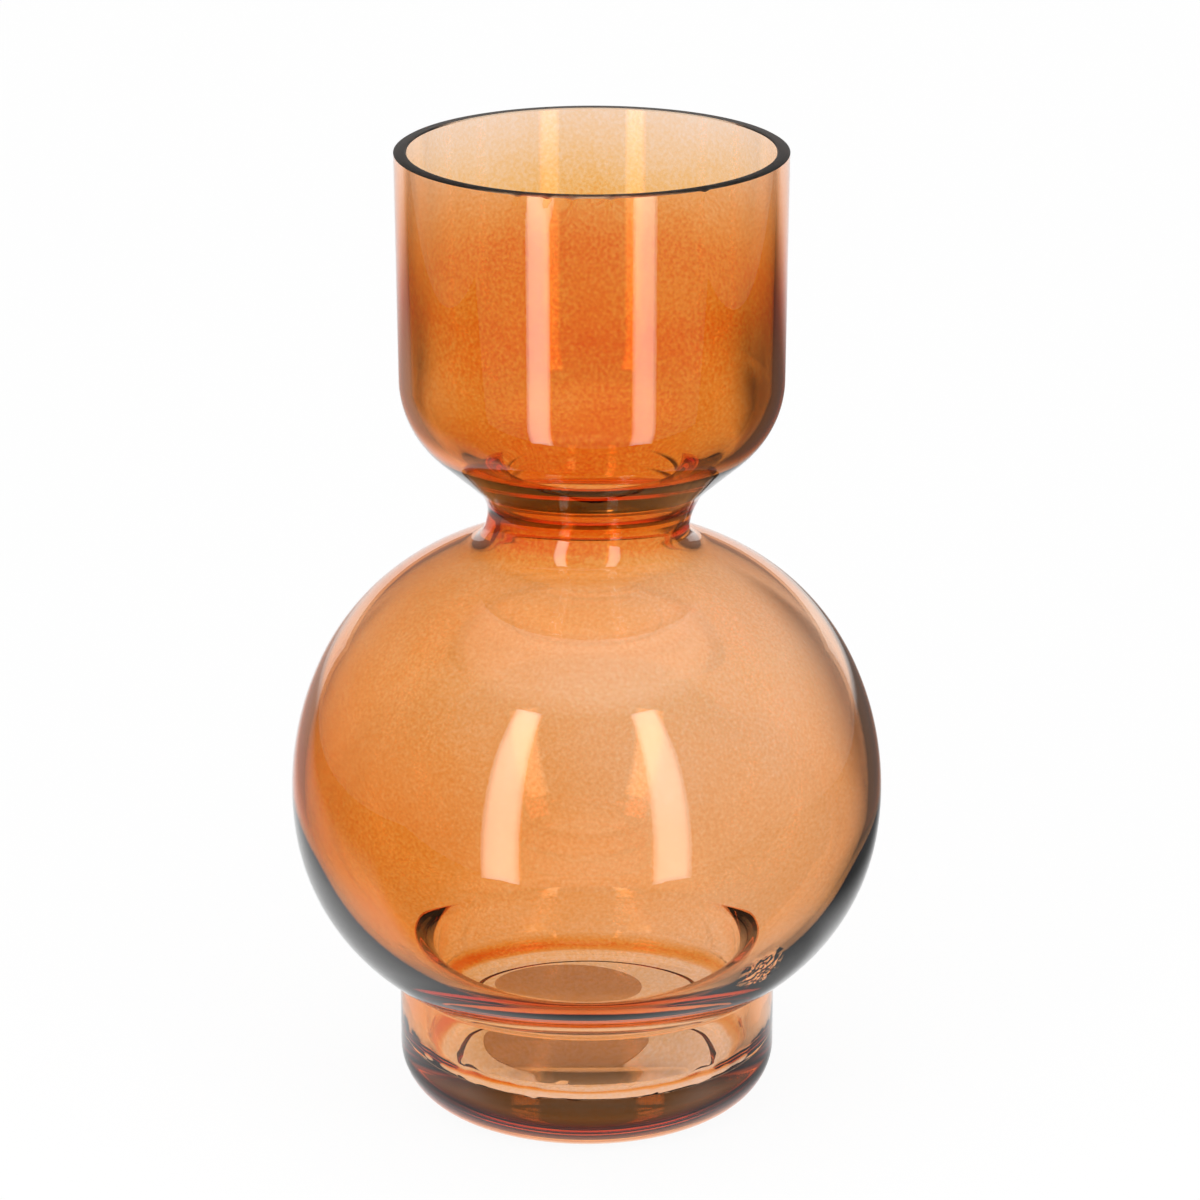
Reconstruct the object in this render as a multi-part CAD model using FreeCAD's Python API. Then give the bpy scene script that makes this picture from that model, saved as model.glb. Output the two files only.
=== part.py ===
import FreeCAD, Part
import math
import os

# Gourd vase: a flower cup on a tight neck, a globe below it and a short heavy foot.
# Millimetres. Z is the axis of the vase, Z = 0 is the plane that it stands on.
# The glass is one blown piece, closed below and open at the ground rim.
# A thin amber lacquer is sprayed on its outside, and a blank paper label is stuck under the foot.

# Outside of the glass, from the foot upwards
foot_radius = 48.3           # straight side of the foot
foot_edge_radius = 13.4      # rounding from the side to the underside
foot_side_top = 33.0         # height where the side turns into the crease
crease_radius = 1.5          # hollow rounding between foot and globe
globe_radius = 75.3          # middle zone of the globe, a true sphere
globe_low_angle = 7.5        # degrees below the equator where the sphere gives way
globe_low_radius = 54.3      # tighter arc from there to the crease
globe_high_angle = 25.0      # degrees above the equator where the sphere gives way
globe_high_radius = 60.8     # tighter arc from there to the shoulder
shoulder_radius = 7.0        # hollow rounding between globe and neck
neck_radius = 25.5           # narrowest place outside
neck_length = 1.0            # straight stretch of the neck
flare_radius = 12.8          # hollow rounding between neck and cup
cup_cone_angle = 49.0        # degrees on the cup's corner where its cone begins
cup_corner_radius = 24.8     # rounding from the cone to the wall of the cup
cup_radius = 48.0            # wall of the cup at its lower end
rim_radius = 48.5            # wall of the cup at the rim
cup_wall_height = 57.8       # from the cup's corner to the rim
rim_arris = 0.3              # edges of the ground rim, broken by this much

# Inside of the glass, from the rim downwards
cup_thickness = 3.0
inner_cone_angle = 64.0      # degrees on the inner corner where the cup's floor slopes to the bore
bore_flare_radius = 5.0      # rounding of the bore into the cup, where the glass is thickest
neck_bore_radius = 21.5      # narrowest place inside
bore_shoulder_radius = 10.0  # rounding of the bore into the globe
globe_thickness = 3.0        # from the shoulder to the equator
inner_low_radius = 50.0      # arc below the equator, where the wall gathers towards the foot
lip_radius = 7.0             # rounded lip where the globe narrows into the foot's hollow
foot_thickness = 6.5
floor_corner_radius = 6.0    # between the side of the hollow and its floor
base_thickness = 13.4        # solid glass under the edge of the floor
floor_rise = 3.5             # the floor swells up by this much in its middle

# Underside
bearing_ring_width = 2.5     # flat ring that the vase stands on, inside the rounding
recess_depth = 1.2           # shallow hollow inside that ring
recess_slope_width = 1.5     # its sloping edge

# Lacquer and label
lacquer_thickness = 0.2
lacquer_stop_angle = 76.0    # degrees round the foot's rounding where the spray ends
label_edge_clearance = 0.8   # from the label's farthest edge to the recess's slope
label_thickness = 0.15
label_offset_x = -5.5        # stuck on by hand, off the centre
label_offset_y = 7.5


def at(radius, height):
    """A point of the outline, in the XZ plane."""
    return FreeCAD.Vector(radius, 0, height)


def on_circle(middle, radius, angle):
    """The point of a circle at an angle in degrees, counted from outwards to up."""
    turn = math.radians(angle)
    return middle + at(radius * math.cos(turn), radius * math.sin(turn))


def line(start, end):
    return Part.LineSegment(start, end).toShape()


def arc(middle, radius, start, end):
    """The arc of a circle between two angles."""
    ends = [on_circle(middle, radius, angle) for angle in (start, (start + end) / 2, end)]
    return Part.Arc(*ends).toShape()


def angle_to(first, second):
    """Direction from one centre to another, in degrees."""
    return math.degrees(math.atan2(second.z - first.z, second.x - first.x))


def rise_to_tangent(middle, radius, upright_radius, rounding):
    """Height between a circle's centre and that of a rounding which touches the circle
    from outside and an upright line on its axis side."""
    reach = radius + rounding
    aside = upright_radius + rounding - middle.x
    return math.sqrt(reach ** 2 - aside ** 2)


def rise_to_cone(corner_radius, cone_angle, upright_radius, rounding):
    """Height between the cup corner's centre and that of a rounding which touches
    the cup's cone and an upright line on its axis side."""
    turn = math.radians(cone_angle)
    aside = upright_radius + rounding - (cup_radius - cup_corner_radius)
    return (corner_radius + rounding - aside * math.cos(turn)) / math.sin(turn)


def outer_centres():
    """Centres of the outside's arcs. They stack up from the foot."""
    low_turn = math.radians(globe_low_angle)
    high_turn = math.radians(globe_high_angle)
    low_shift = globe_radius - globe_low_radius
    high_shift = globe_radius - globe_high_radius
    low = at(low_shift * math.cos(low_turn), foot_side_top)
    low.z += rise_to_tangent(low, globe_low_radius, foot_radius, crease_radius)
    globe = at(0, low.z + low_shift * math.sin(low_turn))
    high = at(high_shift * math.cos(high_turn), globe.z + high_shift * math.sin(high_turn))
    shoulder = at(neck_radius + shoulder_radius, high.z)
    shoulder.z += rise_to_tangent(high, globe_high_radius, neck_radius, shoulder_radius)
    flare = at(neck_radius + flare_radius, shoulder.z + neck_length)
    corner = at(cup_radius - cup_corner_radius, flare.z)
    corner.z += rise_to_cone(cup_corner_radius, cup_cone_angle, neck_radius, flare_radius)
    return {
        "crease": at(foot_radius + crease_radius, foot_side_top),
        "low": low, "globe": globe, "high": high,
        "shoulder": shoulder, "flare": flare, "corner": corner,
    }


centres = outer_centres()
rim_height = centres["corner"].z + cup_wall_height
ring_outer = foot_radius - foot_edge_radius
ring_inner = ring_outer - bearing_ring_width
recess_radius = ring_inner - recess_slope_width


def joined(edges):
    """The edges in order, with a straight edge wherever two of them don't meet."""
    path = []
    for edge in edges:
        if path:
            last = path[-1].Vertexes[-1].Point
            first = edge.Vertexes[0].Point
            if last.distanceToPoint(first) > Part.Precision.confusion():
                path.append(line(last, first))
        path.append(edge)
    return path


def backwards(edges):
    """The same edges, walked from the last one's end to the first one's start."""
    turned = []
    for edge in reversed(edges):
        start = edge.Vertexes[-1].Point
        end = edge.Vertexes[0].Point
        if isinstance(edge.Curve, Part.Circle):
            halfway = edge.valueAt((edge.FirstParameter + edge.LastParameter) / 2)
            turned.append(Part.Arc(start, halfway, end).toShape())
        else:
            turned.append(line(start, end))
    return turned


def turned_solid(edges):
    """The closed outline turned once round the axis."""
    closed = joined(edges)
    closed.append(line(closed[-1].Vertexes[-1].Point, closed[0].Vertexes[0].Point))
    face = Part.Face(Part.Wire(closed))
    return face.revolve(at(0, 0), FreeCAD.Vector(0, 0, 1), 360)


def cup_edges(flare, rounding, cone_angle, thickness, top):
    """The cup from the neck upwards."""
    corner = centres["corner"]
    return [
        arc(flare, rounding, 180, 180 - cone_angle),
        arc(corner, cup_corner_radius - thickness, -cone_angle, 0),
        line(at(cup_radius - thickness, corner.z), top),
    ]


def outer_edges(skin):
    """Outside of the vase from the foot's side to the rim, raised by a skin's thickness."""
    crease, low, globe = centres["crease"], centres["low"], centres["globe"]
    high, shoulder, flare = centres["high"], centres["shoulder"], centres["flare"]
    edges = [
        arc(crease, crease_radius - skin, 180, angle_to(low, crease) + 180),
        arc(low, globe_low_radius + skin, angle_to(low, crease), -globe_low_angle),
        arc(globe, globe_radius + skin, -globe_low_angle, globe_high_angle),
        arc(high, globe_high_radius + skin, globe_high_angle, angle_to(high, shoulder)),
        arc(shoulder, shoulder_radius - skin, angle_to(high, shoulder) + 180, 180),
    ]
    top = at(rim_radius + skin, rim_height - rim_arris)
    return edges + cup_edges(flare, flare_radius - skin, cup_cone_angle, -skin, top)


def foot_edge(skin, end_angle):
    """The foot's rounding from an angle near the underside up to the side."""
    middle = at(foot_radius - foot_edge_radius, foot_edge_radius)
    return arc(middle, foot_edge_radius + skin, end_angle, 0)


def floor_edges(hollow_radius):
    """The swelling floor of the foot's hollow and the rounding at its edge."""
    corner = at(hollow_radius - floor_corner_radius, base_thickness + floor_corner_radius)
    swell_radius = (corner.x ** 2 + floor_rise ** 2) / (2 * floor_rise)
    swell = at(0, base_thickness + floor_rise - swell_radius)
    edge_angle = math.degrees(math.acos(corner.x / swell_radius))
    return [
        arc(swell, swell_radius, 90, edge_angle),
        arc(corner, floor_corner_radius, -90, 0),
    ]


def inner_edges():
    """Inside of the vase from the floor's middle up to the rim."""
    globe, high = centres["globe"], centres["high"]
    hollow_radius = foot_radius - foot_thickness
    inner_radius = globe_radius - globe_thickness
    low = at(inner_radius - inner_low_radius, globe.z)
    lip = at(hollow_radius + lip_radius, low.z)
    lip.z -= rise_to_tangent(low, inner_low_radius, hollow_radius, lip_radius)
    high_radius = globe_high_radius - globe_thickness
    shoulder = at(neck_bore_radius + bore_shoulder_radius, high.z)
    shoulder.z += rise_to_tangent(high, high_radius, neck_bore_radius, bore_shoulder_radius)
    flare = at(neck_bore_radius + bore_flare_radius, centres["corner"].z)
    flare.z -= rise_to_cone(
        cup_corner_radius - cup_thickness, inner_cone_angle, neck_bore_radius, bore_flare_radius
    )
    edges = [
        arc(lip, lip_radius, 180, angle_to(low, lip) + 180),
        arc(low, inner_low_radius, angle_to(low, lip), 0),
        arc(globe, inner_radius, 0, globe_high_angle),
        arc(high, high_radius, globe_high_angle, angle_to(high, shoulder)),
        arc(shoulder, bore_shoulder_radius, angle_to(high, shoulder) + 180, 180),
    ]
    top = at(rim_radius - cup_thickness, rim_height - rim_arris)
    cup = cup_edges(flare, bore_flare_radius, inner_cone_angle, cup_thickness, top)
    return floor_edges(hollow_radius) + edges + cup


def blown_glass_body():
    """The glass: recess and bearing ring below, outside, ground rim, inside, floor."""
    underside = [
        line(at(0, recess_depth), at(recess_radius, recess_depth)),
        line(at(recess_radius, recess_depth), at(ring_inner, 0)),
        line(at(ring_inner, 0), at(ring_outer, 0)),
        foot_edge(0, -90),
    ]
    rim = line(
        at(rim_radius - rim_arris, rim_height),
        at(rim_radius - cup_thickness + rim_arris, rim_height),
    )
    return turned_solid(underside + outer_edges(0) + [rim] + backwards(joined(inner_edges())))


def amber_lacquer_coat():
    """The sprayed film, from the rim down to the end of the spray under the foot."""
    outside = [foot_edge(lacquer_thickness, -lacquer_stop_angle)] + outer_edges(lacquer_thickness)
    inside = [foot_edge(0, -lacquer_stop_angle)] + outer_edges(0)
    return turned_solid(outside + backwards(joined(inside)))


def base_label():
    """The round paper label on the roof of the recess."""
    off_centre = math.hypot(label_offset_x, label_offset_y)
    radius = recess_radius - off_centre - label_edge_clearance
    low = FreeCAD.Vector(label_offset_x, label_offset_y, recess_depth - label_thickness)
    return Part.makeCylinder(radius, label_thickness, low)


os.makedirs("parts", exist_ok=True)
pieces = {
    "blown_glass_body": blown_glass_body(),
    "amber_lacquer_coat": amber_lacquer_coat(),
    "base_label": base_label(),
}
for name, shape in pieces.items():
    solid = shape.Solids[0]
    print(name, "valid", shape.isValid(), "solids", len(shape.Solids), "volume", round(solid.Volume))
    solid.exportStep("parts/" + name + ".step")
print("height of the rim", round(rim_height, 2))
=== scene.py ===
import math

import bmesh
import bpy
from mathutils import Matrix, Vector, noise


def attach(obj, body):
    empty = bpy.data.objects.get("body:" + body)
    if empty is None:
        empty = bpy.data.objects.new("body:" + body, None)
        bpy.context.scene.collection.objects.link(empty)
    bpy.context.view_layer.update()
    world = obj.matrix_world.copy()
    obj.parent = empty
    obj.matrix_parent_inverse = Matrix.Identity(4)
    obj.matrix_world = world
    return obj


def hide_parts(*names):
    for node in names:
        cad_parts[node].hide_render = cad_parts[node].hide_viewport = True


# Gourd vase of clear blown glass, sprayed amber outside, on a white sweep.
# Lengths in the size dictionaries are millimetres, the scene itself is in metres.

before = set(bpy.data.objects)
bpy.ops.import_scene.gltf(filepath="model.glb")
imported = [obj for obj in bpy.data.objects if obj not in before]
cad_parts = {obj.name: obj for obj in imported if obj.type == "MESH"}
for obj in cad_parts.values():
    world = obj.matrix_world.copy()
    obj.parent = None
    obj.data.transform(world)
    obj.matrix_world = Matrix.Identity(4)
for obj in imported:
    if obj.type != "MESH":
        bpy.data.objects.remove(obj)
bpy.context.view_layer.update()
print("frame:", sorted(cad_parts))

mm = 0.001


# sRGB hex to the linear values that sockets take.
def linear(hexColour, alpha=1.0):
    parts = [int(hexColour[i:i + 2], 16) / 255 for i in (1, 3, 5)]
    return [c / 12.92 if c <= 0.04045 else ((c + 0.055) / 1.055) ** 2.4 for c in parts] + [alpha]


# One shader node; settings go to its sockets or properties, links feed its sockets.
def addNode(tree, kind, settings=None, links=None):
    node = tree.nodes.new(kind)
    for key, value in (settings or {}).items():
        if isinstance(key, int) or key in node.inputs:
            node.inputs[key].default_value = value
        else:
            setattr(node, key, value)
    for key, source in (links or {}).items():
        tree.links.new(source, node.inputs[key])
    return node


def newMaterial(name):
    material = bpy.data.materials.new(name)
    material.use_nodes = True
    material.node_tree.nodes.clear()
    return material, material.node_tree


def onlyOf(kind, geometry):
    return [element for element in geometry if isinstance(element, kind)]


# A pen is an outline being drawn in the XZ plane: its mesh and the vertex at its tip.
def startPen(radius, height):
    bm = bmesh.new()
    tip = bmesh.ops.create_vert(bm, co=(radius * mm, 0, height * mm))["vert"][0]
    return {"bm": bm, "tip": tip}


# Swings the tip round a centre, from one angle to another (degrees, outwards to up).
def penArc(pen, centre, start, end, step):
    radius = math.hypot(pen["tip"].co.x / mm - centre[0], pen["tip"].co.z / mm - centre[1])
    steps = max(3, round(abs(math.radians(end - start)) * radius / step))
    swung = bmesh.ops.spin(pen["bm"], geom=[pen["tip"]], cent=(centre[0] * mm, 0, centre[1] * mm),
                           axis=(0, -1, 0), angle=math.radians(end - start), steps=steps)
    pen["tip"] = swung["geom_last"][0]


def penLine(pen, radius, height, step=3.0):
    start = pen["tip"].co.copy()
    end = Vector((radius * mm, 0, height * mm))
    steps = max(1, round((end - start).length / mm / step))
    if (end - start).length < 1e-7:
        return
    for i in range(steps):
        drawn = bmesh.ops.extrude_vert_indiv(pen["bm"], verts=[pen["tip"]])
        pen["tip"] = drawn["verts"][0]
        pen["tip"].co = start.lerp(end, (i + 1) / steps)


# The drawn outline turned once round Z, doubles and poles closed.
def turned(pen, steps):
    bm = pen["bm"]
    bmesh.ops.spin(bm, geom=bm.verts[:] + bm.edges[:], cent=(0, 0, 0), axis=(0, 0, 1),
                   angle=math.tau, steps=steps, use_merge=True)
    bmesh.ops.remove_doubles(bm, verts=bm.verts, dist=1e-6)
    bmesh.ops.dissolve_degenerate(bm, edges=bm.edges, dist=1e-7)
    bmesh.ops.recalc_face_normals(bm, faces=bm.faces)
    return bm


def finishPiece(bm, name, materials, sharpAngle=32):
    for face in bm.faces:
        face.smooth = True
    for edge in bm.edges:
        edge.smooth = edge.calc_face_angle(0) < math.radians(sharpAngle)
    mesh = bpy.data.meshes.new(name)
    bm.to_mesh(mesh)
    bm.free()
    for material in materials:
        mesh.materials.append(material)
    piece = bpy.data.objects.new(name, mesh)
    bpy.context.scene.collection.objects.link(piece)
    return piece


form = {
    "footRadius": 48.3, "footEdge": 13.4, "footSideTop": 33.0, "crease": 1.5,
    "globe": 75.3, "lowAngle": 7.5, "low": 54.3, "highAngle": 25.0, "high": 60.8,
    "shoulder": 7.0, "neck": 25.5, "neckLength": 1.0, "flare": 12.8,
    "coneAngle": 49.0, "corner": 24.8, "cup": 48.0, "rim": 48.5, "cupWall": 57.8,
    "arris": 0.3, "coat": 0.2, "coatStop": 76.0,
    "lean": 1.4, "leanFrom": 4.0, "leanTo": 6.0,
}


def polar(centre, radius, angle):
    turn = math.radians(angle)
    return centre[0] + radius * math.cos(turn), centre[1] + radius * math.sin(turn)


def bearing(first, second):
    return math.degrees(math.atan2(second[1] - first[1], second[0] - first[0]))


def riseTangent(centreX, radius, upright, rounding):
    return math.sqrt((radius + rounding) ** 2 - (upright + rounding - centreX) ** 2)


def riseCone(centreX, corner, upright, rounding, cone):
    turn = math.radians(cone)
    aside = upright + rounding - centreX
    return (corner + rounding - aside * math.cos(turn)) / math.sin(turn)


def formCentres():
    lowTurn, highTurn = math.radians(form["lowAngle"]), math.radians(form["highAngle"])
    lowShift, highShift = form["globe"] - form["low"], form["globe"] - form["high"]
    lowX = lowShift * math.cos(lowTurn)
    lowZ = form["footSideTop"] + riseTangent(lowX, form["low"], form["footRadius"], form["crease"])
    globeZ = lowZ + lowShift * math.sin(lowTurn)
    highX, highZ = highShift * math.cos(highTurn), globeZ + highShift * math.sin(highTurn)
    shoulderZ = highZ + riseTangent(highX, form["high"], form["neck"], form["shoulder"])
    flareZ = shoulderZ + form["neckLength"]
    cornerX = form["cup"] - form["corner"]
    cornerZ = flareZ + riseCone(cornerX, form["corner"], form["neck"], form["flare"], form["coneAngle"])
    return {
        "crease": (form["footRadius"] + form["crease"], form["footSideTop"]),
        "low": (lowX, lowZ), "globe": (0, globeZ), "high": (highX, highZ),
        "shoulder": (form["neck"] + form["shoulder"], shoulderZ),
        "flare": (form["neck"] + form["flare"], flareZ),
        "corner": (cornerX, cornerZ),
    }


centres = formCentres()
rimHeight = centres["corner"][1] + form["cupWall"]
footCentre = (form["footRadius"] - form["footEdge"], form["footEdge"])


# From the end of the spray under the foot up to the rim, raised by a skin.
def drawOutside(pen, skin):
    c = centres
    penArc(pen, footCentre, -form["coatStop"], 0, 0.7)
    penLine(pen, form["footRadius"] + skin, form["footSideTop"])
    penArc(pen, c["crease"], 180, bearing(c["low"], c["crease"]) + 180, 0.25)
    penArc(pen, c["low"], bearing(c["low"], c["crease"]), -form["lowAngle"], 1.6)
    penArc(pen, c["globe"], -form["lowAngle"], form["highAngle"], 1.8)
    penArc(pen, c["high"], form["highAngle"], bearing(c["high"], c["shoulder"]), 1.6)
    penArc(pen, c["shoulder"], bearing(c["high"], c["shoulder"]) + 180, 180, 0.6)
    penLine(pen, form["neck"] + skin, c["flare"][1], 0.6)
    penArc(pen, c["flare"], 180, 180 - form["coneAngle"], 0.8)
    cornerRadius = form["corner"] + skin
    penLine(pen, *polar(c["corner"], cornerRadius, -form["coneAngle"]), 1.5)
    penArc(pen, c["corner"], -form["coneAngle"], 0, 1.1)
    penLine(pen, form["rim"] + skin, rimHeight - form["arris"], 3.2)


# Blown by mouth: above the neck the cup sits a little to the right of the globe.
def leanCup(bm):
    low, high = centres["shoulder"][1] - form["leanFrom"], centres["flare"][1] + form["leanTo"]
    for vert in bm.verts:
        t = min(max((vert.co.z / mm - low) / (high - low), 0), 1)
        vert.co.x += form["lean"] * mm * t * t * (3 - 2 * t)


glass = {
    "cupWall": 3.0, "innerCone": 64.0, "boreFlare": 5.0, "bore": 21.5, "boreShoulder": 10.0,
    "globeWall": 3.0, "innerLow": 50.0, "lip": 7.0, "footWall": 6.5, "floorCorner": 6.0,
    "base": 13.4, "floorRise": 3.5, "ring": 2.5, "recess": 1.2, "recessSlope": 1.5,
    "steps": 204,
}


# From the rim down the inside to the middle of the floor.
def drawInside(pen):
    c, g = centres, glass
    bore, hollow = g["bore"], form["footRadius"] - g["footWall"]
    corner = form["corner"] - g["cupWall"]
    flare = (bore + g["boreFlare"],
             c["corner"][1] - riseCone(c["corner"][0], corner, bore, g["boreFlare"], g["innerCone"]))
    high = form["high"] - g["globeWall"]
    shoulder = (bore + g["boreShoulder"],
                c["high"][1] + riseTangent(c["high"][0], high, bore, g["boreShoulder"]))
    inner = form["globe"] - g["globeWall"]
    low = (inner - g["innerLow"], c["globe"][1])
    lip = (hollow + g["lip"], low[1] - riseTangent(low[0], g["innerLow"], hollow, g["lip"]))
    floor = (hollow - g["floorCorner"], g["base"] + g["floorCorner"])
    swell = (floor[0] ** 2 + g["floorRise"] ** 2) / (2 * g["floorRise"])
    swellCentre = (0, g["base"] + g["floorRise"] - swell)
    penLine(pen, form["cup"] - g["cupWall"], c["corner"][1], 3.2)
    penArc(pen, c["corner"], 0, -g["innerCone"], 1.1)
    penLine(pen, *polar(flare, g["boreFlare"], 180 - g["innerCone"]), 1.5)
    penArc(pen, flare, 180 - g["innerCone"], 180, 0.7)
    penLine(pen, bore, shoulder[1], 0.8)
    penArc(pen, shoulder, 180, bearing(c["high"], shoulder) + 180, 0.6)
    penArc(pen, c["high"], bearing(c["high"], shoulder), form["highAngle"], 1.6)
    penArc(pen, c["globe"], form["highAngle"], 0, 1.8)
    penArc(pen, low, 0, bearing(low, lip), 1.4)
    penArc(pen, lip, bearing(low, lip) + 180, 180, 0.5)
    penLine(pen, hollow, floor[1], 1.2)
    penArc(pen, floor, 0, -90, 0.45)
    penArc(pen, swellCentre, math.degrees(math.acos(floor[0] / swell)), 90, 1.2)


marks = {
    # x and y of dents in the floor, their radius and depth
    "floor": [(-6.0, -31.0, 2.2, 0.55), (-12.0, -35.0, 2.6, 0.35), (-3.0, -36.5, 1.6, 0.3),
              (11.0, -34.0, 2.4, 0.4), (15.5, -37.0, 2.0, 0.35), (19.0, -31.5, 1.5, 0.3)],
    "floorTop": 20.0, "squeeze": 1.6,
    # the floor's edge waves this far from the hollow's wall and over this width and height
    "waveIn": 2.2, "waveWidth": 5.0, "waveHeight": 7.0, "waveTop": 30.0,
    # place of the wrinkle's middle, its reach and depth
    "flaw": (42.0, -46.5, 54.5, 6.0, 0.4), "flawInside": 58.0,
    # where chips lie along the front of the rim, and how wide, deep and far in they are
    "chips": [-17.5, -10.6, -4.2, 4.4, 26.8], "chipWidth": 0.75, "chipDepth": 0.5, "chipIn": 0.25,
}


# The hollow's floor chilled first in the mould: its edge runs in small waves, and near the
# front it has a few dents.
def markFloor(bm):
    hollow = form["footRadius"] - glass["footWall"]
    for vert in bm.verts:
        x, y, z = (v / mm for v in vert.co)
        radius = math.hypot(x, y)
        if radius > hollow + 0.1 or z < glass["base"] - 1 or z > marks["waveTop"]:
            continue
        near = max(0.0, 1 - abs(radius - hollow + marks["waveIn"]) / marks["waveWidth"])
        near = near * max(0.0, 1 - abs(z - glass["base"] - 1) / marks["waveHeight"])
        if near > 0:
            way = Vector((x, y, 0)).normalized()
            wave = noise.noise(way * 4.2) + 0.6 * noise.noise(way * 11.0 + Vector((3, 1, 0)))
            vert.co += way * min(0.0, wave * 1.5 - 0.5) * near * mm
            vert.co.z += wave * 0.9 * near * mm
        for markX, markY, size, depth in marks["floor"]:
            away = math.hypot(x - markX, (y - markY) * marks["squeeze"]) / size
            if away < 1 and z < marks["floorTop"]:
                vert.co.z -= depth * (1 - away * away) ** 2 * mm


# A drip-like wrinkle low on the globe's right, frozen in the outer face.
def markOutside(bm):
    x, y, z, reach, depth = marks["flaw"]
    centre = Vector((x, y, z)) * mm
    inside = marks["flawInside"] * mm
    close = [e for e in bm.edges if (e.verts[0].co - centre).length < reach * mm
             and e.calc_length() > 0.3 * mm and math.hypot(e.verts[0].co.x, e.verts[0].co.y) > inside]
    bmesh.ops.subdivide_edges(bm, edges=close, cuts=4, use_grid_fill=True, smooth=0.6)
    bm.normal_update()
    for vert in bm.verts:
        away = (vert.co - centre).length / (reach * mm)
        if away < 1 and math.hypot(vert.co.x, vert.co.y) > inside:
            # the ripples run upwards: coarse in height, fine across
            along = vert.co / mm
            ripple = noise.noise(Vector((along.x * 1.1, along.y * 1.1, along.z * 0.35)))
            vert.co += vert.normal * ripple * depth * 2 * (1 - away * away) * mm


# Tiny chips that grinding left along the front of the rim's outer edge.
def chipRim(bm):
    for vert in bm.verts:
        x, y, z = (v / mm for v in vert.co)
        if y > 0 or z < rimHeight - 0.35 or math.hypot(x, y) < form["rim"] - 0.6:
            continue
        if min(abs(x - chip) for chip in marks["chips"]) < marks["chipWidth"]:
            vert.co.z -= marks["chipDepth"] * mm
            vert.co.y += marks["chipIn"] * mm


def buildGlass():
    g, skin = glass, form["coat"]
    ringOuter = footCentre[0]
    ringInner = ringOuter - g["ring"]
    pen = startPen(0, g["recess"])
    penLine(pen, ringInner - g["recessSlope"], g["recess"])
    penLine(pen, ringInner, 0)
    penLine(pen, ringOuter, 0)
    penArc(pen, footCentre, -90, -form["coatStop"], 0.7)
    penLine(pen, *polar(footCentre, form["footEdge"] + skin, -form["coatStop"]))
    drawOutside(pen, skin)
    penLine(pen, form["rim"] - form["arris"], rimHeight)
    penLine(pen, form["rim"] - g["cupWall"] + form["arris"], rimHeight)
    penLine(pen, form["rim"] - g["cupWall"], rimHeight - form["arris"])
    drawInside(pen)
    bm = turned(pen, glass["steps"])
    groundFrom = (rimHeight - form["arris"]) * mm
    for face in bm.faces:  # the rim is ground, not fire-polished
        face.material_index = 1 if face.calc_center_median().z > groundFrom else 0
    markFloor(bm)
    markOutside(bm)
    chipRim(bm)
    leanCup(bm)
    return bm


# Soda-lime glass, fire-polished: clear as water, and dark where its edges bend the light
# from the room's dark parts.
def clearGlass():
    material, tree = newMaterial("clear soda-lime glass")
    shader = addNode(tree, "ShaderNodeBsdfPrincipled", {
        "Base Color": linear("#fffffe"), "Roughness": 0.0, "IOR": 1.52, "Transmission Weight": 1.0,
    })
    addNode(tree, "ShaderNodeOutputMaterial", links={"Surface": shader.outputs[0]})
    return material


# The rim, cut and ground flat: a soft grey band instead of a sparkle.
def groundGlass():
    material, tree = newMaterial("ground glass rim")
    place = addNode(tree, "ShaderNodeTexCoord")
    grain = addNode(tree, "ShaderNodeTexNoise", {"Scale": 900.0, "Detail": 3.0},
                    {"Vector": place.outputs["Object"]})
    bump = addNode(tree, "ShaderNodeBump", {"Strength": 0.35, "Distance": 0.0002},
                   {"Height": grain.outputs["Fac"]})
    shader = addNode(tree, "ShaderNodeBsdfPrincipled", {
        "Base Color": linear("#d3d8d2"), "Roughness": 0.28, "IOR": 1.52, "Transmission Weight": 1.0,
    }, {"Normal": bump.outputs["Normal"]})
    addNode(tree, "ShaderNodeOutputMaterial", links={"Surface": shader.outputs[0]})
    return material


vaseGlass = finishPiece(buildGlass(), "vase_glass", [clearGlass(), groundGlass()])
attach(vaseGlass, "root")
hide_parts("blown_glass_body")
print("glass:", len(vaseGlass.data.polygons), "faces")


lacquer = {
    "under": 0.05, "film": 0.1, "steps": 192, "reach": 250.0,
    # how heavy the coat is from the foot (0) to the rim (1), which is its reach
    "coat": [(0.0, 0.0), (0.008, 0.12), (0.016, 0.55), (0.03, 0.8), (0.045, 0.55), (0.06, 0.34),
             (0.14, 0.44), (0.2, 0.44), (0.3, 0.44), (0.4, 0.42), (0.52, 0.25), (0.585, 0.42),
             (0.62, 0.80), (0.66, 0.76), (0.72, 0.58), (0.78, 0.60), (0.86, 0.74), (0.92, 0.56),
             (1.0, 0.28)],
    # what one face of the shell lets through, from no coat (0) to the heaviest (1)
    "colours": [(0.0, [1.0, 1.0, 1.0]), (0.31, [0.99, 0.84, 0.72]), (0.69, [0.957, 0.68, 0.36]),
                (1.0, [0.93, 0.46, 0.14])],
}


# A thin closed shell just under the polished outer face, so that light crossing the
# surface takes the tint, also where it is thrown back inside.
def buildLacquer():
    pen = startPen(*polar(footCentre, form["footEdge"] + lacquer["under"], -form["coatStop"]))
    drawOutside(pen, lacquer["under"])
    bm = turned(pen, lacquer["steps"])
    bmesh.ops.solidify(bm, geom=bm.faces[:], thickness=-lacquer["film"] * mm)
    leanCup(bm)
    return bm


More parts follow.
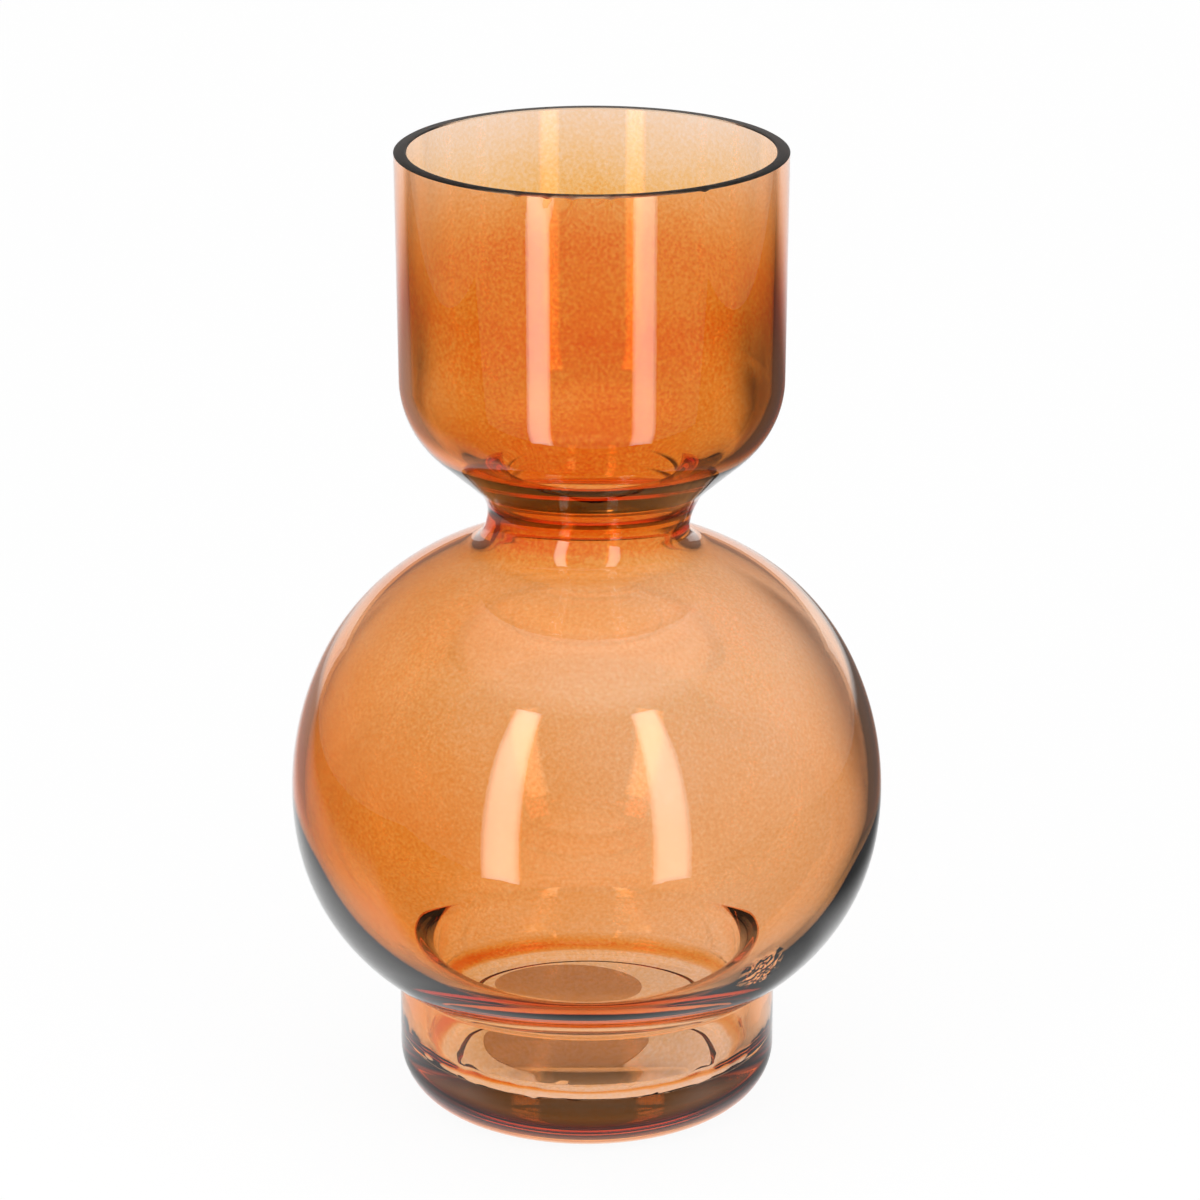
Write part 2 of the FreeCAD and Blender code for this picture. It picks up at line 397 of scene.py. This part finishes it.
# A colour ramp with its stops given as (place, grey or colour).
def ramp(tree, fac, stops):
    node = addNode(tree, "ShaderNodeValToRGB", links={"Fac": fac})
    elements = node.color_ramp.elements
    while len(elements) < len(stops):
        elements.new(0.5)
    for element, (place, value) in zip(elements, stops):
        element.position = place
        element.color = (value if isinstance(value, list) else [value] * 3) + [1]
    return node.outputs["Color"]


# From low to high while the value goes from start to end, held beyond them.
def slide(tree, value, start, end, low, high):
    ends = {"From Min": start, "From Max": end, "To Min": low, "To Max": high}
    return addNode(tree, "ShaderNodeMapRange", ends, {"Value": value}).outputs[0]


# The same in a soft S.
def smooth(tree, value, start, end, low, high):
    ends = {"From Min": start, "From Max": end, "To Min": low, "To Max": high}
    ends["interpolation_type"] = "SMOOTHSTEP"
    return addNode(tree, "ShaderNodeMapRange", ends, {"Value": value}).outputs[0]


def times(tree, first, second):
    return addNode(tree, "ShaderNodeMath", {"operation": "MULTIPLY"}, {0: first, 1: second}).outputs[0]


def larger(tree, first, second):
    return addNode(tree, "ShaderNodeMath", {"operation": "MAXIMUM"}, {0: first, 1: second}).outputs[0]


# Transparent amber spray: thin and peach near the rim and on the globe's top, heavy and
# burnt orange at the neck and the foot's edge, cloudy and finely speckled by the gun.
def amberLacquer():
    material, tree = newMaterial("amber transparent lacquer")
    place = addNode(tree, "ShaderNodeTexCoord").outputs["Object"]
    xyz = addNode(tree, "ShaderNodeSeparateXYZ", links={0: place})
    height = addNode(tree, "ShaderNodeMath", {"operation": "MULTIPLY", 1: 1 / (lacquer["reach"] * mm)},
                     {0: xyz.outputs["Z"]})
    coat = ramp(tree, height.outputs[0], lacquer["coat"])
    # the coat is heavier on the globe's left than on its right, and on the front of the cup than at its
    # sides
    aslant = smooth(tree, xyz.outputs["X"], -0.075, 0.03, 1.48, 0.94)
    aside = addNode(tree, "ShaderNodeMath", {"operation": "ABSOLUTE"}, {0: xyz.outputs["X"]})
    facing = slide(tree, aside.outputs[0], 0.0, 0.048, 1.14, 0.98)
    aloft = slide(tree, xyz.outputs["Z"], 0.14, 0.175, 0.0, 1.0)
    side = addNode(tree, "ShaderNodeMix", links={0: aloft, 2: aslant, 3: facing})
    cloud = addNode(tree, "ShaderNodeTexNoise", {"Scale": 26.0, "Detail": 4.0, "Roughness": 0.55},
                    {"Vector": place})
    cloudy = slide(tree, cloud.outputs["Fac"], 0.3, 0.7, 0.89, 1.11)
    speck = addNode(tree, "ShaderNodeTexNoise", {"Scale": 1100.0, "Detail": 1.0}, {"Vector": place})
    specked = slide(tree, speck.outputs["Fac"], 0.3, 0.7, 0.86, 1.14)
    amount = times(tree, times(tree, times(tree, coat, side.outputs[0]), cloudy), specked)
    colour = ramp(tree, amount, lacquer["colours"])
    shader = addNode(tree, "ShaderNodeBsdfTransparent", links={"Color": colour})
    addNode(tree, "ShaderNodeOutputMaterial", links={"Surface": shader.outputs[0]})
    return material


vaseLacquer = finishPiece(buildLacquer(), "amber_lacquer", [amberLacquer()])
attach(vaseLacquer, "root")
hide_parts("amber_lacquer_coat")
print("lacquer:", len(vaseLacquer.data.polygons), "faces")


label = {"radius": 20.8, "thickness": 0.15, "glue": 0.02, "x": -5.5, "y": 7.5, "segments": 96}


def buildLabel():
    bm = bmesh.new()
    made = bmesh.ops.create_circle(bm, cap_ends=True, segments=label["segments"],
                                   radius=label["radius"] * mm)
    height = glass["recess"] - label["thickness"]
    bmesh.ops.translate(bm, verts=made["verts"], vec=(label["x"] * mm, label["y"] * mm, height * mm))
    rise = bmesh.ops.extrude_face_region(bm, geom=bm.faces[:])
    bmesh.ops.translate(bm, verts=onlyOf(bmesh.types.BMVert, rise["geom"]),
                        vec=(0, 0, (label["thickness"] - label["glue"]) * mm))
    bmesh.ops.recalc_face_normals(bm, faces=bm.faces)
    return bm


# Blank uncoated paper: warm white with a little fibre, and the table's light comes
# through it.
def labelPaper():
    material, tree = newMaterial("blank label paper")
    place = addNode(tree, "ShaderNodeTexCoord")
    fibre = addNode(tree, "ShaderNodeTexNoise", {"Scale": 260.0, "Detail": 6.0},
                    {"Vector": place.outputs["Object"]})
    paperTone = addNode(tree, "ShaderNodeValToRGB", links={"Fac": fibre.outputs["Fac"]})
    paperTone.color_ramp.elements[0].color = linear("#f2e2d5")
    paperTone.color_ramp.elements[1].color = linear("#fbeee3")
    paper = addNode(tree, "ShaderNodeBsdfPrincipled", {"Roughness": 0.85},
                    {"Base Color": paperTone.outputs["Color"]})
    shine = addNode(tree, "ShaderNodeBsdfTranslucent", links={"Color": paperTone.outputs["Color"]})
    shader = addNode(tree, "ShaderNodeMixShader", {0: 0.8}, {1: paper.outputs[0], 2: shine.outputs[0]})
    addNode(tree, "ShaderNodeOutputMaterial", links={"Surface": shader.outputs[0]})
    return material


baseLabel = finishPiece(buildLabel(), "base_label_paper", [labelPaper()])
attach(baseLabel, "root")
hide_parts("base_label")
print("label placed")


studio = {
    "halfWidth": 0.8, "front": -0.30, "back": 1.05, "bend": 0.15, "wallTop": 0.2,
    "boxAngle": 29, "boxDistance": 0.34, "boxWidth": 0.08, "boxTop": 0.46, "boxLow": -0.04,
    "leftBox": 5.4, "rightBox": 4.6,
    "boxFall": [(0.0, 0.25), (0.16, 0.9), (0.5, 1.0), (0.84, 0.9), (1.0, 0.25)],
    "below": 0.00005, "bendSteps": 16,
    # painted flag shadows beside the vase: where the dark starts and ends, and how deep it is
    "paintedFlagShadows": [(0.08, 0.16, 0.92), (-0.13, -0.22, 0.6)],
    # painted shadows round the foot: the ring's depth, the place and depth of the spot at the right
    "ringDepth": 0.3, "spot": (0.085, -0.012, 0), "spotDepth": 0.5,
    # the share of glow on the vinyl, and the painted amber tint of the light below the foot
    "whiteShare": 0.93, "footPaintedTint": [1.0, 0.84, 0.80],
    # how bright the room is from level (0) to straight up (1), and the strength of all of it
    "dusk": [(0.0, 0.23), (0.12, 0.24), (0.35, 0.13), (0.6, 0.03), (0.76, 0.08), (0.86, 0.75), (1.0, 1.0)],
    "duskStrength": 1.3,
}


# 1 on rays that the glass mirrors or bends, 0 on the others.
def bentRay(tree, path):
    return larger(tree, path.outputs["Is Glossy Ray"], path.outputs["Is Transmission Ray"])


# The level with a shade of that depth laid over it.
def shaded(tree, level, shade):
    kept = addNode(tree, "ShaderNodeMath", {"operation": "SUBTRACT", 0: 1.0}, {1: shade})
    return times(tree, level, kept.outputs[0])


# White vinyl sweep. The camera sees it burnt out to white with a trace of shadow; where the glass bends and
# mirrors it, it glows with painted light and shade: dark in front, and at the sides painted flag shadows,
# the right one closer.
def whiteVinyl():
    material, tree = newMaterial("white vinyl sweep")
    path = addNode(tree, "ShaderNodeLightPath")
    place = addNode(tree, "ShaderNodeTexCoord").outputs["Object"]
    xyz = addNode(tree, "ShaderNodeSeparateXYZ", links={0: place})
    x, y = xyz.outputs["X"], xyz.outputs["Y"]
    # painted pool of light from the foot backwards, over a width that grows towards the back
    aside = addNode(tree, "ShaderNodeMath", {"operation": "ABSOLUTE"}, {0: x})
    aside = addNode(tree, "ShaderNodeMath", {"operation": "MULTIPLY_ADD", 1: -0.55},
                    {0: y, 2: aside.outputs[0]})
    level = times(tree, smooth(tree, y, -0.068, -0.042, 0.0, 1.0),
                  smooth(tree, aside.outputs[0], 0.20, 0.34, 1.0, 0.06))
    # painted flag shadows darken the sides, fading out far behind the vase
    for start, end, depth in studio["paintedFlagShadows"]:
        flag = smooth(tree, x, start, end, 0.0, depth)
        level = shaded(tree, level, times(tree, flag, smooth(tree, y, 0.60, 0.85, 1.0, 0.0)))
    # painted shadow of the globe round the front of its foot, deeper to the right
    far = addNode(tree, "ShaderNodeVectorMath", {"operation": "LENGTH"}, {0: place}).outputs["Value"]
    ring = times(tree, smooth(tree, far, 0.047, 0.054, 0.0, studio["ringDepth"]),
                 smooth(tree, far, 0.060, 0.075, 1.0, 0.0))
    ring = times(tree, ring, smooth(tree, y, 0.0, 0.03, 1.0, 0.0))
    away = addNode(tree, "ShaderNodeVectorMath", {"operation": "DISTANCE", 1: studio["spot"]}, {0: place})
    spot = smooth(tree, away.outputs["Value"], 0.018, 0.055, studio["spotDepth"], 0.0)
    level = shaded(tree, shaded(tree, level, ring), spot)
    bent = bentRay(tree, path)
    seen = path.outputs["Is Camera Ray"]
    share = addNode(tree, "ShaderNodeMath", {"operation": "MULTIPLY", 1: studio["whiteShare"]},
                    {0: larger(tree, seen, bent)})
    matte = addNode(tree, "ShaderNodeBsdfDiffuse", {"Color": linear("#f4f4f4")})
    # painted amber tint below the foot, for the light that reaches the vinyl through the lacquer
    under = times(tree, smooth(tree, far, 0.036, 0.05, 1.0, 0.0), bent)
    tone = ramp(tree, under, [(0.0, 1.0), (1.0, studio["footPaintedTint"])])
    glow = addNode(tree, "ShaderNodeEmission", links={"Color": tone, "Strength": larger(tree, seen, level)})
    shader = addNode(tree, "ShaderNodeMixShader",
                     links={0: share.outputs[0], 1: matte.outputs[0], 2: glow.outputs[0]})
    addNode(tree, "ShaderNodeOutputMaterial", links={"Surface": shader.outputs[0]})
    return material


def buildSweep():
    s = studio
    bm = bmesh.new()
    first = bmesh.ops.create_vert(bm, co=(-s["halfWidth"], s["front"], -s["below"]))["vert"][0]
    edge = bmesh.ops.extrude_vert_indiv(bm, verts=[first])
    edge["verts"][0].co.x = s["halfWidth"]
    floor = bmesh.ops.extrude_edge_only(bm, edges=edge["edges"])
    bmesh.ops.translate(bm, verts=onlyOf(bmesh.types.BMVert, floor["geom"]),
                        vec=(0, s["back"] - s["bend"] - s["front"], 0))
    bend = bmesh.ops.spin(bm, geom=onlyOf(bmesh.types.BMEdge, floor["geom"]),
                          cent=(0, s["back"] - s["bend"], s["bend"]), axis=(1, 0, 0),
                          angle=math.radians(90), steps=s["bendSteps"])
    wall = bmesh.ops.extrude_edge_only(bm, edges=onlyOf(bmesh.types.BMEdge, bend["geom_last"]))
    bmesh.ops.translate(bm, verts=onlyOf(bmesh.types.BMVert, wall["geom"]),
                        vec=(0, 0, s["wallTop"] - s["bend"]))
    bmesh.ops.recalc_face_normals(bm, faces=bm.faces)
    return bm


sweep = finishPiece(buildSweep(), "white_sweep", [whiteVinyl()], sharpAngle=60)
print("sweep placed")


# A tall softbox standing at the table; its face is that bright in the middle, where 1 is
# white, and falls off towards its long edges.
def softbox(name, side, bright):
    width, height = studio["boxWidth"], studio["boxTop"] - studio["boxLow"]
    lamp = bpy.data.lights.new(name, "AREA")
    lamp.shape = "RECTANGLE"
    lamp.size, lamp.size_y = width, height
    lamp.energy = bright * math.pi * width * height
    lamp.use_nodes = True
    tree = lamp.node_tree
    tree.nodes.clear()
    face = addNode(tree, "ShaderNodeNewGeometry").outputs["Parametric"]
    across = addNode(tree, "ShaderNodeSeparateXYZ", links={0: face})
    fall = ramp(tree, across.outputs["X"], studio["boxFall"])
    glow = addNode(tree, "ShaderNodeEmission", links={"Strength": fall})
    addNode(tree, "ShaderNodeOutputLight", links={"Surface": glow.outputs[0]})
    turn = math.radians(studio["boxAngle"] * side)
    box = bpy.data.objects.new(name, lamp)
    box.location = (math.sin(turn) * studio["boxDistance"], -math.cos(turn) * studio["boxDistance"],
                    (studio["boxTop"] + studio["boxLow"]) / 2)
    box.rotation_euler = (math.radians(90), 0, turn)
    bpy.context.scene.collection.objects.link(box)


softbox("softbox_left", -1, studio["leftBox"])
softbox("softbox_right", 1, studio["rightBox"])
print("softboxes placed")


# The room: white as the camera sees it and as it lights the table, dusky with a bright
# ceiling where the glass mirrors or bends it.
def buildRoom():
    world = bpy.data.worlds.new("studio room")
    bpy.context.scene.world = world
    world.use_nodes = True
    tree = world.node_tree
    tree.nodes.clear()
    path = addNode(tree, "ShaderNodeLightPath")
    up = addNode(tree, "ShaderNodeSeparateXYZ",
                 links={0: addNode(tree, "ShaderNodeTexCoord").outputs["Generated"]})
    dusk = ramp(tree, up.outputs["Z"], studio["dusk"])
    room = addNode(tree, "ShaderNodeBackground", {"Strength": studio["duskStrength"]}, {"Color": dusk})
    white = addNode(tree, "ShaderNodeBackground", {"Color": (1, 1, 1, 1), "Strength": 1.0})
    mixed = addNode(tree, "ShaderNodeMixShader",
                    links={0: bentRay(tree, path), 1: white.outputs[0], 2: room.outputs[0]})
    addNode(tree, "ShaderNodeOutputWorld", links={"Surface": mixed.outputs[0]})


buildRoom()
print("room lit")


# focal length in pixels, sensor width in mm, the rest in metres and degrees
view = {
    "focal": 4692.07, "pixels": 1200, "sensor": 36,
    "distance": 1.18816, "down": 18.83, "target": 0.1333, "aside": 0.00342,
}
camData = bpy.data.cameras.new("photo camera")
camData.sensor_width = view["sensor"]
camData.lens = view["focal"] / view["pixels"] * view["sensor"]
cam = bpy.data.objects.new("photo camera", camData)
down = math.radians(view["down"])
cam.location = (view["aside"], -view["distance"] * math.cos(down),
                view["target"] + view["distance"] * math.sin(down))
cam.rotation_euler = (math.radians(90) - down, 0, 0)
bpy.context.scene.collection.objects.link(cam)
bpy.context.scene.camera = cam

# thick glass needs long light paths
bpy.context.scene.cycles.max_bounces = 24
bpy.context.scene.cycles.transmission_bounces = 24
bpy.context.scene.cycles.transparent_max_bounces = 48
bpy.context.scene.view_settings.view_transform = "Standard"
